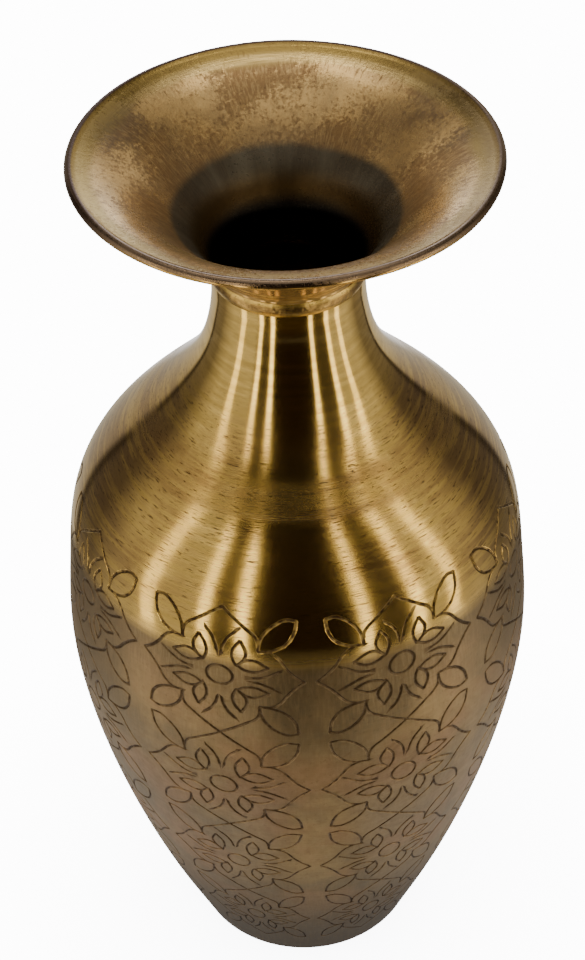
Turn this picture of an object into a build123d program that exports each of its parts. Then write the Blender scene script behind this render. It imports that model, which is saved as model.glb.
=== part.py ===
from build123d import *

import os

# A tall engraved brass flower vase, made as spun and brazed sheet metal.
#
# Four spun or cut pieces of sheet brass are held by three brazed seams:
# the mouth funnel plugs into the neck, the shoulder shell laps over a tongue
# on the belly shell, and the base disc lies on the belly's turned-in foot.
# Millimetres, +Z up, origin at the centre of the foot's resting face.

# Driving dimensions
HEIGHT = 360.0
SHEET = 1.0
FOOT_R = 45.0
BELLY_R = 85.7
BELLY_Z = 161.0
NECK_R = 26.2
MOUTH_R = 71.6
RIM_ROLL_R = 1.7

# Heights of the seams, and the sizes of their laps and grooves
SHOULDER_SEAM_Z = 250.0
NECK_SEAM_Z = 315.6
SHOULDER_LAP = 7.0
NECK_LAP = 6.0
GROOVE = 1.6
NECK_BEAD = 0.6
NECK_BEAD_REACH = 2.6
FOOT_FLANGE = 6.0
DISC_GAP = 0.8
FOOT_FILLET = 2.2

# Outer skin of the body, as radius and height, from the foot to the neck
BODY_OUTLINE = [
    (FOOT_R, 0.0),
    (56.6, 30.0),
    (66.7, 60.0),
    (76.3, 95.0),
    (83.2, 130.0),
    (BELLY_R, BELLY_Z),
    (83.7, 190.0),
    (78.4, 220.0),
    (65.6, 240.0),
    (47.0, 260.0),
    (32.4, 280.0),
    (27.0, 299.0),
    (NECK_R, 309.0),
]
# Inner skin of the flared mouth, from the collar to the foot of the rolled rim
MOUTH_OUTLINE = [
    (NECK_R - SHEET, NECK_SEAM_Z + 3.4),
    (27.6, 323.5),
    (31.4, 330.0),
    (38.7, 338.2),
    (48.0, 347.4),
    (58.0, 354.7),
    (68.3, 359.2),
]
OFFSET_STEPS = 60


def at(radius, height):
    """A point of the profile plane, which is the plane of X and Z."""
    return Vector(radius, 0, height)


def offset_points(line, depth):
    """Points beside a profile line: a positive depth lies on the axis side of a rising line."""
    points = []
    for step in range(OFFSET_STEPS + 1):
        here = step / OFFSET_STEPS
        along = line % here
        points.append((line @ here) + Vector(-along.Z, 0, along.X) * depth)
    return points


def param_at_height(line, height):
    """Where a rising profile line passes a height, as its parameter from 0 to 1."""
    low, high = 0.0, 1.0
    for _ in range(50):
        middle = (low + high) / 2
        if (line @ middle).Z < height:
            low = middle
        else:
            high = middle
    return (low + high) / 2


def spun(*edges):
    """A closed profile turned once round the vase's axis."""
    return revolve(Face(Wire(edges)), axis=Axis.Z)


def polyline(*points):
    """Straight edges that join the points in turn."""
    return [Edge.make_line(start, end) for start, end in zip(points, points[1:])]


# The body's wall as three parallel lines: its skin, its inside, and the inside of a lapped tongue
skin = Spline(*[at(*point) for point in BODY_OUTLINE], tangents=[(0.38, 0, 1), (0, 0, 1)])
inside = Spline(*offset_points(skin, SHEET))
tongue_inside = Spline(*offset_points(skin, 2 * SHEET))

seam_on_skin = param_at_height(skin, SHOULDER_SEAM_Z)
seam_end_on_skin = seam_on_skin + GROOVE / skin.length
seam_root = (skin @ seam_on_skin) + Vector(-(skin % seam_on_skin).Z, 0, (skin % seam_on_skin).X) * SHEET
seam_on_inside = param_at_height(inside, seam_root.Z)
lap_on_inside = seam_on_inside + SHOULDER_LAP / inside.length
foot_on_inside = param_at_height(inside, SHEET)


def tongue_param(inside_param):
    """Where the tongue's inner line faces a point of the body's inner line."""
    along = inside % inside_param
    facing = (inside @ inside_param) + Vector(-along.Z, 0, along.X) * SHEET
    return param_at_height(tongue_inside, facing.Z)


def make_belly_shell():
    """Spun belly with a turned-in foot flange and a stepped-in tongue at its top edge."""
    flange_r = FOOT_R - FOOT_FLANGE
    wall_end = seam_on_inside - 2.5 / inside.length
    tongue_start = tongue_param(seam_on_inside - 0.8 / inside.length)
    tongue_end = tongue_param(lap_on_inside)
    return spun(
        skin.trim(0, seam_on_skin),
        *polyline(skin @ seam_on_skin, inside @ seam_on_inside),
        inside.trim(seam_on_inside, lap_on_inside),
        *polyline(inside @ lap_on_inside, tongue_inside @ tongue_end),
        tongue_inside.trim(tongue_start, tongue_end),
        *polyline(tongue_inside @ tongue_start, inside @ wall_end),
        inside.trim(foot_on_inside, wall_end),
        *polyline(inside @ foot_on_inside, at(flange_r, SHEET), at(flange_r, 0), skin @ 0),
    )


def make_shoulder_shell():
    """Spun shoulder and neck, lapped over the belly's tongue, with a bevelled edge at each end."""
    neck_top = NECK_SEAM_Z - SHEET
    return spun(
        skin.trim(seam_end_on_skin, 1),
        *polyline(skin @ 1, at(NECK_R, neck_top), at(NECK_R - SHEET, NECK_SEAM_Z), inside @ 1),
        inside.trim(seam_on_inside, 1),
        *polyline(inside @ seam_on_inside, skin @ seam_end_on_skin),
    )


def make_shoulder_braze():
    """Filler in the groove between the belly and the shoulder, ground flush with the skin."""
    return spun(
        skin.trim(seam_on_skin, seam_end_on_skin),
        *polyline(skin @ seam_end_on_skin, inside @ seam_on_inside, skin @ seam_on_skin),
    )


def make_neck_braze():
    """Filler between the neck and the funnel's collar, left standing proud as a low bead."""
    low = at(NECK_R, NECK_SEAM_Z - NECK_BEAD_REACH)
    high = at(NECK_R, NECK_SEAM_Z + NECK_BEAD_REACH)
    crown = at(NECK_R + NECK_BEAD, NECK_SEAM_Z)
    return spun(
        Edge.make_three_point_arc(low, crown, high),
        *polyline(
            high,
            at(NECK_R, NECK_SEAM_Z + SHEET),
            at(NECK_R - SHEET, NECK_SEAM_Z),
            at(NECK_R, NECK_SEAM_Z - SHEET),
            low,
        ),
    )


def make_mouth_funnel():
    """Spun trumpet mouth with a rolled rim, a short collar and a spigot that plugs into the neck."""
    face_in = Spline(*[at(*point) for point in MOUTH_OUTLINE], tangents=[(0, 0, 1), (1, 0, 0.36)])
    face_out = Spline(*offset_points(face_in, -SHEET))
    spigot_r = NECK_R - SHEET
    lower = NECK_SEAM_Z - NECK_LAP
    sheet = spun(
        face_out,
        *polyline(face_out @ 1, face_in @ 1),
        face_in,
        *polyline(
            face_in @ 0,
            at(spigot_r, NECK_SEAM_Z + 1.2),
            at(spigot_r - SHEET, NECK_SEAM_Z - 0.4),
            at(spigot_r - SHEET, lower),
            at(spigot_r, lower),
            at(spigot_r, NECK_SEAM_Z),
            at(NECK_R, NECK_SEAM_Z + SHEET),
            face_out @ 0,
        ),
    )
    roll = Pos(0, 0, HEIGHT - RIM_ROLL_R) * Torus(MOUTH_R - RIM_ROLL_R, RIM_ROLL_R)
    return sheet + roll


def make_base_disc():
    """Flat disc that closes the bottom, lying on the foot's turned-in flange."""
    disc_r = (inside @ foot_on_inside).X - DISC_GAP
    return Pos(0, 0, 1.5 * SHEET) * Cylinder(disc_r, SHEET)


def make_base_braze():
    """Filler fillet in the corner between the base disc and the belly's wall."""
    disc_r = (inside @ foot_on_inside).X - DISC_GAP
    fillet_top = param_at_height(inside, 2 * SHEET + FOOT_FILLET)
    return spun(
        inside.trim(foot_on_inside, fillet_top),
        *polyline(
            inside @ fillet_top,
            at(disc_r - FOOT_FILLET, 2 * SHEET),
            at(disc_r, 2 * SHEET),
            at(disc_r, SHEET),
            inside @ foot_on_inside,
        ),
    )


PARTS = {
    "belly_shell": make_belly_shell,
    "shoulder_shell": make_shoulder_shell,
    "shoulder_braze": make_shoulder_braze,
    "mouth_funnel": make_mouth_funnel,
    "neck_braze": make_neck_braze,
    "base_disc": make_base_disc,
    "base_braze": make_base_braze,
}

os.makedirs("parts", exist_ok=True)
for name, make in PARTS.items():
    part = make()
    part.label = name
    export_step(part, f"parts/{name}.step")
    print(name, "volume", round(part.volume, 1), "valid", part.is_valid)
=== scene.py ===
"""Looks for a tall engraved brass flower vase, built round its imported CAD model.

Metres, +Z up. The front of the vase faces -Y.
"""
import math
import random

import bpy
import numpy as np
from mathutils import Matrix, Vector, noise
from mathutils.geometry import delaunay_2d_cdt


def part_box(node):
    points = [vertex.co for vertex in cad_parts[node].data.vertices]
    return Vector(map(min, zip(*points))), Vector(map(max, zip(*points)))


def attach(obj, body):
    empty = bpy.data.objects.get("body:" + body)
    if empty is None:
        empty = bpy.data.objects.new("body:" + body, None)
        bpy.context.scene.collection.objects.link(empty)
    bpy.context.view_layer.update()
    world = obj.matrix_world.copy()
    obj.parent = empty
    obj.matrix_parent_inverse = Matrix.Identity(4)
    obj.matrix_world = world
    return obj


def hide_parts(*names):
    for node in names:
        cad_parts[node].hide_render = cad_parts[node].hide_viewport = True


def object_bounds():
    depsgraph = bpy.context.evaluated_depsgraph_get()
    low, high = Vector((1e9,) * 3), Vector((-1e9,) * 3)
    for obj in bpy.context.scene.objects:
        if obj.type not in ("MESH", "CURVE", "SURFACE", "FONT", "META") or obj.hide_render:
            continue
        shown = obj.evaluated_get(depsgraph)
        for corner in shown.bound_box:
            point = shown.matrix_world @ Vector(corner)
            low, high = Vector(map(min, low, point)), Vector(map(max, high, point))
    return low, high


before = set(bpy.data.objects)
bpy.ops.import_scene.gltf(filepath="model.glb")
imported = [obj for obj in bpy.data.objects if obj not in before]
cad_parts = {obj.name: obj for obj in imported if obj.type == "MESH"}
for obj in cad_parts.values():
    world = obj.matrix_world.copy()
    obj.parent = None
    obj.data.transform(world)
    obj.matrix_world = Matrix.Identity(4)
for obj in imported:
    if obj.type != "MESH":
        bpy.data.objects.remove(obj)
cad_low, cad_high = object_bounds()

MM = 0.001
TURN = 2 * math.pi

# Sizes in millimetres, brought to the CAD model's own height
DRAWN_HEIGHT = 360.0
SCALE = (cad_high.z - cad_low.z) / (DRAWN_HEIGHT * MM)
SHEET = 1.0
GROOVE = 1.6
FOOT_FLANGE_R = 39.0
FOOT_FILLET = 2.2
RIM_ROLL_R = 1.7
COLLAR_R = 26.2
SPIGOT_LENGTH = 6.0
SHOULDER_SEAM = 250.0
LAP_RISE = 4.6
NECK_BEAD_REACH = 2.6
NECK_BEAD = 0.6
MOUTH_TILT = 0.0184
MOUTH_SWAY = 0.7

# The wall's outer skin from the foot to the neck, as radius and height
BODY_OUTLINE = [
    (45.0, 0.0), (56.6, 30.0), (66.7, 60.0), (76.3, 95.0), (83.2, 130.0),
    (85.7, 161.0), (83.7, 190.0), (78.4, 220.0), (65.6, 240.0), (47.0, 260.0),
    (32.4, 280.0), (27.0, 299.0), (26.2, 309.0),
]
# The inner skin of the flared mouth, from the collar to the rolled rim
MOUTH_OUTLINE = [
    (25.2, 319.0), (27.6, 323.5), (31.4, 330.0), (38.7, 338.2),
    (48.0, 347.4), (58.0, 354.7), (68.3, 359.2),
]

# Engraving: eight columns of four flowers
COLUMNS = 8
COLUMN_ANGLE = TURN / COLUMNS
FIRST_COLUMN = math.radians(-19.59)
FLOWER_HALF_ANGLE = math.radians(21.08)
ROW_CROSSINGS = [13.1, 63.4, 117.5, 172.5, 225.1]
ROW_CENTRES = [37.9, 89.5, 144.6, 198.9]
LINE_HALF_WIDTHS = [0.5, 0.52, 0.56, 0.66]
LINE_DEPTH = 0.4
UNROLL_R = 76.0
LINE_POINT_SPACING = 1.05
GRID_SPACING = 2.7
EDGE_FADE = 12.0
DRIFT = 0.9
SEGMENTS = 192
SKIN_FACE = 1
CUT_FACE = 2


# ---------------------------------------------------------------- outlines


def smooth_line(points, start, end, step):
    """Points about a step apart on the smooth curve through given points."""
    knots = np.array(points, float)
    gaps = np.linalg.norm(np.diff(knots, axis=0), axis=1)
    count = len(knots)
    system = np.eye(count)
    right = np.zeros((count, 2))
    right[0] = np.array(start) / np.linalg.norm(start)
    right[-1] = np.array(end) / np.linalg.norm(end)
    for i in range(1, count - 1):
        before, after = gaps[i - 1], gaps[i]
        system[i, i - 1 : i + 2] = 1 / before, 2 / before + 2 / after, 1 / after
        right[i] = 3 * (knots[i] - knots[i - 1]) / before**2
        right[i] += 3 * (knots[i + 1] - knots[i]) / after**2
    slopes = np.linalg.solve(system, right)
    line = []
    for i, gap in enumerate(gaps):
        for t in np.linspace(0, 1, 64, endpoint=False):
            point = (1 + 2 * t) * (1 - t) ** 2 * knots[i] + t * t * (3 - 2 * t) * knots[i + 1]
            point = point + gap * t * (1 - t) * ((1 - t) * slopes[i] - t * slopes[i + 1])
            line.append(point)
    line.append(knots[-1])
    return resampled(np.array(line), step)


def lengths_along(line):
    """Distance along a line of points, from its start to each point."""
    steps = np.linalg.norm(np.diff(line, axis=0), axis=1)
    return np.concatenate(([0.0], np.cumsum(steps)))


def resampled(line, step):
    """The same line with evenly spaced points."""
    along = lengths_along(line)
    marks = np.linspace(0, along[-1], max(2, round(along[-1] / step) + 1))
    return np.stack([np.interp(marks, along, line[:, k]) for k in range(line.shape[1])], axis=1)


def beside_line(line):
    """Unit steps off a line to its left, at each of its points."""
    direction = np.gradient(line, axis=0)
    direction /= np.linalg.norm(direction, axis=1)[:, None]
    return np.stack([-direction[:, 1], direction[:, 0]], axis=1)


def offset_line(line, depth):
    """A line beside a rising line: a positive depth lies towards the axis."""
    return line + depth * beside_line(line)


def between_heights(line, low, high):
    """The part of a rising line between two heights, with its ends exactly there."""
    inside = line[(line[:, 1] > low + 0.02) & (line[:, 1] < high - 0.02)]
    ends = [[np.interp(z, line[:, 1], line[:, 0]), z] for z in (low, high)]
    return np.concatenate(([ends[0]], inside, [ends[1]]))


SKIN = smooth_line(BODY_OUTLINE, (0.38, 1), (0, 1), 0.05)
SKIN_LENGTHS = lengths_along(SKIN)
INSIDE = offset_line(SKIN, SHEET)
TONGUE_INSIDE = offset_line(SKIN, 2 * SHEET)


def height_to_length(height):
    """Distance up the skin from the foot to a height."""
    return float(np.interp(height, SKIN[:, 1], SKIN_LENGTHS))


def skin_at(lengths):
    """Radius, height and outward normal of the skin at distances from the foot."""
    radius = np.interp(lengths, SKIN_LENGTHS, SKIN[:, 0])
    height = np.interp(lengths, SKIN_LENGTHS, SKIN[:, 1])
    ahead = np.clip(lengths + 0.3, 0, SKIN_LENGTHS[-1])
    behind = np.clip(lengths - 0.3, 0, SKIN_LENGTHS[-1])
    d_radius, d_height = [
        np.interp(ahead, SKIN_LENGTHS, column) - np.interp(behind, SKIN_LENGTHS, column)
        for column in SKIN.T
    ]
    size = np.hypot(d_radius, d_height)
    return radius, height, d_height / size, -d_radius / size


SEAM_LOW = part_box("belly_shell")[0].z / MM / SCALE + SHOULDER_SEAM
SEAM_LOW_LENGTH = height_to_length(SEAM_LOW)
SEAM_HIGH_LENGTH = SEAM_LOW_LENGTH + GROOVE
SEAM_HIGH = float(np.interp(SEAM_HIGH_LENGTH, SKIN_LENGTHS, SKIN[:, 1]))
NECK_SEAM = sum(corner.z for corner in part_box("neck_braze")) / 2 / MM / SCALE
NECK_START = BODY_OUTLINE[-1][1]
SEAM_ROOT = INSIDE[np.searchsorted(SKIN_LENGTHS, SEAM_LOW_LENGTH)]


# ---------------------------------------------------------------- modelling helpers


def deselect_all():
    """Leaves object mode with nothing selected."""
    if bpy.context.object and bpy.context.object.mode != "OBJECT":
        bpy.ops.object.mode_set(mode="OBJECT")
    bpy.ops.object.select_all(action="DESELECT")


def lathe(name, profile, segments=SEGMENTS, start_angle=0.0):
    """Draws a profile of radius and height in mm from one point by extruding it, and spins it."""
    deselect_all()
    unit = MM * SCALE
    flat = np.array([math.sin(start_angle), -math.cos(start_angle)])
    points = [Vector((*(flat * radius * unit), height * unit)) for radius, height in profile]
    bpy.ops.mesh.primitive_plane_add(size=1 * MM, location=points[0])
    piece = bpy.context.object
    piece.name = piece.data.name = name
    bpy.ops.object.transform_apply(location=True, rotation=True, scale=True)
    bpy.ops.object.mode_set(mode="EDIT")
    bpy.ops.mesh.select_all(action="SELECT")
    bpy.ops.mesh.merge(type="CENTER")
    for here, there in zip(points, points[1:]):
        bpy.ops.mesh.extrude_region_move(TRANSFORM_OT_translate={"value": there - here})
    bpy.ops.mesh.select_all(action="SELECT")
    bpy.ops.mesh.spin(steps=segments, angle=TURN, center=(0, 0, 0), axis=(0, 0, 1))
    bpy.ops.mesh.select_all(action="SELECT")
    bpy.ops.mesh.remove_doubles(threshold=0.02 * MM)
    bpy.ops.mesh.normals_make_consistent(inside=False)
    bpy.ops.object.mode_set(mode="OBJECT")
    return piece


def smooth(piece, angle=35):
    """Smooth shading, with real corners kept sharp."""
    deselect_all()
    piece.select_set(True)
    bpy.context.view_layer.objects.active = piece
    bpy.ops.object.shade_smooth_by_angle(angle=math.radians(angle), keep_sharp_edges=True)


def read_all(items, field, width=1, kind=float):
    """One field of every item of a mesh, as an array."""
    values = np.zeros(len(items) * width, kind)
    items.foreach_get(field, values)
    return values.reshape(-1, width) if width > 1 else values


def coordinates(piece):
    """A piece's vertices as an array of places in millimetres."""
    return read_all(piece.data.vertices, "co", 3) / (MM * SCALE)


def place(piece, places):
    """Moves a piece's vertices to places in millimetres."""
    piece.data.vertices.foreach_set("co", (places * MM * SCALE).ravel())
    piece.data.update()


def fit(piece, node, material):
    """Lets a finished piece stand for a CAD node."""
    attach(piece, "root")
    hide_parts(node)
    piece.data.materials.clear()
    piece.data.materials.append(material)


# ---------------------------------------------------------------- engraving pattern

# One quarter of a flower, in mm across and up from its middle, as it was drawn on a
# full-size flower 61 mm wide and 54 mm high. Other quarters are its mirror images.
DRAWN_HALF_WIDTH = 30.8
DRAWN_HALF_HEIGHT = 27.0
QUARTER_LINES = {
    "frame_upper": [(0, 27.0), (5.6, 23.4), (9.2, 21.0), (12.5, 18.8), (14.0, 16.6), (14.5, 13.0)],
    "frame_side": [
        (30.8, 0), (27.2, 3.0), (24.3, 6.4), (22.4, 9.3), (20.2, 11.5), (17.4, 12.6), (14.4, 12.4),
    ],
    "leaf_upper": [(27.7, 24.6), (23.6, 25.0), (18.8, 22.3), (15.4, 18.0), (14.2, 12.9)],
    "leaf_lower": [(27.7, 24.6), (26.6, 19.4), (23.6, 15.4), (19.2, 13.1), (14.2, 12.4)],
    "petal_up_out": [(6.2, 5.6), (9.2, 8.6), (9.9, 12.0), (7.9, 16.1)],
    "petal_up_in": [(6.2, 5.6), (4.9, 8.8), (5.2, 12.4), (7.9, 16.1)],
    "petal_side_up": [(6.6, 5.9), (9.6, 8.2), (13.4, 8.6), (18.1, 6.0)],
    "petal_side_down": [(6.6, 5.9), (9.4, 4.2), (13.6, 3.8), (18.1, 6.0)],
    "tick_up": [(5.7, 19.0), (3.1, 16.6), (1.4, 13.4), (0.8, 10.8)],
    "tick_side": [(21.5, 4.6), (17.7, 2.4), (15.0, 1.3), (12.2, 0.9)],
}
RING_WIDTH = 4.9
RING_HEIGHT = 4.5


def rounded(points, step):
    """A line drawn through a few points, with its corners eased."""
    drawn = np.array(points, float)
    padded = np.vstack([2 * drawn[0] - drawn[1], drawn, 2 * drawn[-1] - drawn[-2]])
    line = []
    for i in range(1, len(padded) - 2):
        p0, p1, p2, p3 = padded[i - 1 : i + 3]
        for t in np.linspace(0, 1, 12, endpoint=False):
            line.append(
                0.5 * (2 * p1 + (p2 - p0) * t + (2 * p0 - 5 * p1 + 4 * p2 - p3) * t**2
                       + (3 * p1 - p0 - 3 * p2 + p3) * t**3)
            )
    line.append(drawn[-1])
    return resampled(np.array(line), step)


def flower_lines(step):
    """Every engraved line of one flower, on its full-size drawing."""
    lines = []
    for points in QUARTER_LINES.values():
        for across in (1, -1):
            for up in (1, -1):
                lines.append(rounded(points, step) * (across, up))
    angles = np.linspace(0, TURN, round(TURN * RING_WIDTH / step) + 1)
    lines.append(np.stack([RING_WIDTH * np.cos(angles), RING_HEIGHT * np.sin(angles)], axis=1))
    return lines


def column_lines(step):
    """The four flowers of one column, unrolled: across and up in mm, with the line's half width."""
    lines = []
    for row, centre in enumerate(ROW_CENTRES):
        middle = height_to_length(centre)
        below = middle - height_to_length(ROW_CROSSINGS[row])
        above = height_to_length(ROW_CROSSINGS[row + 1]) - middle
        for line in flower_lines(step):
            across = line[:, 0] / DRAWN_HALF_WIDTH * FLOWER_HALF_ANGLE * UNROLL_R
            up = line[:, 1] / DRAWN_HALF_HEIGHT
            up = middle + np.where(up > 0, up * above, up * below)
            lines.append((np.stack([across, up], axis=1), LINE_HALF_WIDTHS[row]))
    return lines


def groove_rails(line, half_width, dice):
    """The two edges of an engraved line, a little uneven as a hand-driven tool leaves them."""
    beside = beside_line(line)
    rails = []
    for side in (1, -1):
        reach = [half_width * dice.uniform(0.84, 1.16) for _ in line]
        rails.append(line + side * beside * np.array(reach)[:, None])
    return rails


def distance_to_lines(points, lines):
    """For each point, the distance to the nearest line as a share of the line's half width."""
    nearest = np.full(len(points), 1e9)
    for line, half_width in lines:
        low, high = line.min(0) - 1.5, line.max(0) + 1.5
        near = np.all((points > low) & (points < high), axis=1)
        if not near.any():
            continue
        start, step = line[:-1], np.diff(line, axis=0)
        offset = points[near][:, None, :] - start[None]
        share = np.clip((offset * step).sum(2) / (step**2).sum(1), 0, 1)
        gap = np.linalg.norm(offset - share[..., None] * step, axis=2).min(1) / half_width
        nearest[near] = np.minimum(nearest[near], gap)
    return nearest


def column_outline(top, per_side, spacing):
    """The edge of one unrolled column, with evenly spaced points."""
    half = COLUMN_ANGLE / 2 * UNROLL_R
    across = np.linspace(-half, half, per_side + 1)
    up = np.linspace(0, top, round(top / spacing) + 1)
    bottom = np.stack([across, np.zeros_like(across)], axis=1)
    right = np.stack([np.full_like(up, half), up], axis=1)
    ceiling = bottom[::-1][1:] + (0, top)
    left = right[::-1][1:-1] - (2 * half, 0)
    return np.concatenate((bottom, right[1:], ceiling, left))


def column_mesh(top):
    """One unrolled column cut into triangles along its engraved lines."""
    dice = random.Random(7)
    lines = column_lines(LINE_POINT_SPACING)
    outline = column_outline(top, SEGMENTS // COLUMNS, 3.0)
    points = list(outline)
    edges = [(i, (i + 1) % len(outline)) for i in range(len(outline))]
    for line, half_width in lines:
        for rail in [line, *groove_rails(line, half_width, dice)]:
            first = len(points)
            points.extend(rail)
            edges.extend((first + i, first + i + 1) for i in range(len(rail) - 1))
    half = COLUMN_ANGLE / 2 * UNROLL_R
    grid_x = np.arange(-half + 2.4, half - 1, GRID_SPACING)
    grid_y = np.arange(1.6, top - 1, GRID_SPACING)
    grid = np.array([(x, y) for x in grid_x for y in grid_y])
    points.extend(grid[distance_to_lines(grid, lines) > 2.6])
    corners, _, faces, *_ = delaunay_2d_cdt([Vector(p) for p in points], edges, [], 0, 1e-5)
    return np.array([tuple(c) for c in corners]), np.array(faces), lines


def hand_drift(around, along):
    """How far the engraver strayed from the layout, across and up, in mm."""
    across, up = np.zeros(len(around)), np.zeros(len(around))
    for i, (angle, length) in enumerate(zip(around, along)):
        spot = Vector((math.cos(angle) * 2.6, math.sin(angle) * 2.6, length / 22))
        across[i] = noise.noise(spot) * DRIFT
        up[i] = noise.noise(spot + Vector((9, 4, 7))) * DRIFT
    return across, up


def wrapped_columns(corners, depth, top):
    """The unrolled column wrapped on the skin eight times, its grooves cut to a depth."""
    fade = np.clip(np.minimum(corners[:, 1], top - corners[:, 1]) / EDGE_FADE, 0, 1)
    radius, *_ = skin_at(corners[:, 1])
    places = []
    for column in range(COLUMNS):
        angle = FIRST_COLUMN + column * COLUMN_ANGLE + corners[:, 0] / UNROLL_R
        across, up = hand_drift(angle, corners[:, 1])
        angle = angle + across * fade / radius
        cut_r, height, out, rise = skin_at(corners[:, 1] + up * fade)
        cut_r, height = cut_r - depth * out, height - depth * rise
        places.append(np.stack([cut_r * np.sin(angle), -cut_r * np.cos(angle), height], axis=1))
    return np.concatenate(places)


def engraved_skin(top):
    """The belly's outer face, with a note of where its lines are cut."""
    corners, faces, lines = column_mesh(top)
    gap = distance_to_lines(corners, lines)
    cut_faces = distance_to_lines(corners[faces].mean(1), lines) < 0.97
    face_kind = np.where(cut_faces, CUT_FACE, SKIN_FACE).astype(float)
    places = wrapped_columns(corners, LINE_DEPTH * np.clip(1.0 - gap, 0, 1), top)
    all_faces = np.concatenate([faces + column * len(corners) for column in range(COLUMNS)])
    mesh = bpy.data.meshes.new("belly_engraved")
    mesh.from_pydata(places * MM * SCALE, [], all_faces.tolist())
    skin = bpy.data.objects.new("belly_engraved", mesh)
    bpy.context.scene.collection.objects.link(skin)
    groove = mesh.attributes.new("engraved", "FLOAT", "POINT")
    groove.data.foreach_set("value", np.tile(np.clip(1.06 - gap, 0, 1), COLUMNS))
    kind = mesh.attributes.new("face_kind", "FLOAT", "FACE")
    kind.data.foreach_set("value", np.tile(face_kind, COLUMNS))
    return skin


def make_belly(material):
    """Engraved belly: eight unrolled columns wrapped on the skin, closed by the inner wall."""
    belly = engraved_skin(SEAM_LOW_LENGTH)
    inner = lathe("belly_inside", belly_inside_profile(), SEGMENTS, FIRST_COLUMN + COLUMN_ANGLE / 2)
    deselect_all()
    inner.select_set(True)
    belly.select_set(True)
    bpy.context.view_layer.objects.active = belly
    bpy.ops.object.join()
    bpy.ops.object.mode_set(mode="EDIT")
    bpy.ops.mesh.select_all(action="SELECT")
    bpy.ops.mesh.remove_doubles(threshold=0.01 * MM)
    bpy.ops.mesh.normals_make_consistent(inside=False)
    bpy.ops.object.mode_set(mode="OBJECT")
    smooth(belly, 40)
    shade_skin(belly)
    fit(belly, "belly_shell", material)


def face_kinds(mesh, places, vertex, face_of, facing):
    """Which faces are skin or groove: as noted on the belly, and found by place elsewhere."""
    if "face_kind" in mesh.attributes:
        kind = read_all(mesh.attributes["face_kind"].data, "value")
        mesh.attributes.remove(mesh.attributes["face_kind"])
        return kind
    radius, height = np.hypot(places[:, 0], places[:, 1]), places[:, 2]
    off_skin = np.abs(radius - np.interp(height, SKIN[:, 1], SKIN[:, 0])) > 0.02
    off_skin |= height > SKIN[-1, 1]
    off_skin = off_skin[vertex] | (facing < 0.9)
    return np.where(np.bincount(face_of, off_skin, len(mesh.polygons)) > 0, 0, SKIN_FACE)


def shade_skin(piece):
    """A perfectly smooth skin across the body's pieces, with crisp groove walls."""
    mesh = piece.data
    corner = read_all(mesh.corner_normals, "vector", 3)
    vertex = read_all(mesh.loops, "vertex_index", kind=int)
    sizes = read_all(mesh.polygons, "loop_total", kind=int)
    face_of = np.repeat(np.arange(len(mesh.polygons)), sizes)
    face_normal = read_all(mesh.polygons, "normal", 3)[face_of]
    places = coordinates(piece)
    radius = np.maximum(np.hypot(places[:, 0], places[:, 1]), 1e-6)
    _, _, out, rise = skin_at(np.interp(places[:, 2], SKIN[:, 1], SKIN_LENGTHS))
    skin_normal = np.stack([places[:, 0] / radius * out, places[:, 1] / radius * out, rise], axis=1)
    skin_normal = skin_normal[vertex]
    facing = np.einsum("ij,ij->i", skin_normal, face_normal)
    kind_of = face_kinds(mesh, places, vertex, face_of, facing)[face_of][:, None]
    corner = np.where(kind_of == SKIN_FACE, skin_normal, corner)
    corner = np.where(kind_of == CUT_FACE, face_normal, corner)
    mesh.normals_split_custom_set(corner.tolist())


def belly_inside_profile():
    """The hidden side of the belly: seam groove, lap tongue, inner wall and turned-in foot."""
    seam = np.interp(SEAM_LOW_LENGTH, SKIN_LENGTHS, SKIN[:, 0]), SEAM_LOW
    root_z = SEAM_ROOT[1]
    lap_top = root_z + LAP_RISE
    tongue = between_heights(resampled(INSIDE, 2.0), root_z, lap_top)
    lining = between_heights(resampled(TONGUE_INSIDE, 2.0), root_z - 2.4, lap_top - 1.0)
    wall = between_heights(resampled(INSIDE, 5.0), SHEET, root_z - 3.2)
    profile = [seam, *tongue, *lining[::-1], *wall[::-1]]
    profile += [(FOOT_FLANGE_R, SHEET), (FOOT_FLANGE_R, 0.0), tuple(SKIN[0])]
    return [tuple(point) for point in profile]


# ---------------------------------------------------------------- the other pieces


def make_shoulder(material):
    """Spun shoulder and neck, lapped over the belly's tongue."""
    neck_top = NECK_SEAM - SHEET
    outer = between_heights(resampled(SKIN, 0.8), SEAM_HIGH, NECK_START)
    inner = between_heights(resampled(INSIDE, 2.0), SEAM_ROOT[1], NECK_START)
    profile = [*outer, (COLLAR_R, neck_top), (COLLAR_R - SHEET, NECK_SEAM), *inner[::-1], outer[0]]
    piece = lathe("shoulder_spun", [tuple(p) for p in profile])
    smooth(piece)
    shade_skin(piece)
    fit(piece, "shoulder_shell", material)


def make_shoulder_seam(material):
    """Filler ground flush between belly and shoulder."""
    radius, height, *_ = skin_at(np.linspace(SEAM_LOW_LENGTH, SEAM_HIGH_LENGTH, 4))
    face = list(zip(radius, height))
    piece = lathe("shoulder_seam", [*face, tuple(SEAM_ROOT), face[0]])
    smooth(piece)
    shade_skin(piece)
    fit(piece, "shoulder_braze", material)


def neck_seam_profile():
    """The filler's groove between collar and neck, with its bead standing proud."""
    bead = []
    for step in range(13):
        share = step / 6 - 1
        proud = NECK_BEAD * (1 - share * share)
        bead.append((COLLAR_R + proud, NECK_SEAM + NECK_BEAD_REACH * share))
    groove = [(COLLAR_R, NECK_SEAM + SHEET), (COLLAR_R - SHEET, NECK_SEAM), (COLLAR_R, NECK_SEAM - SHEET)]
    return [*bead, *groove, bead[0]]


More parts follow.
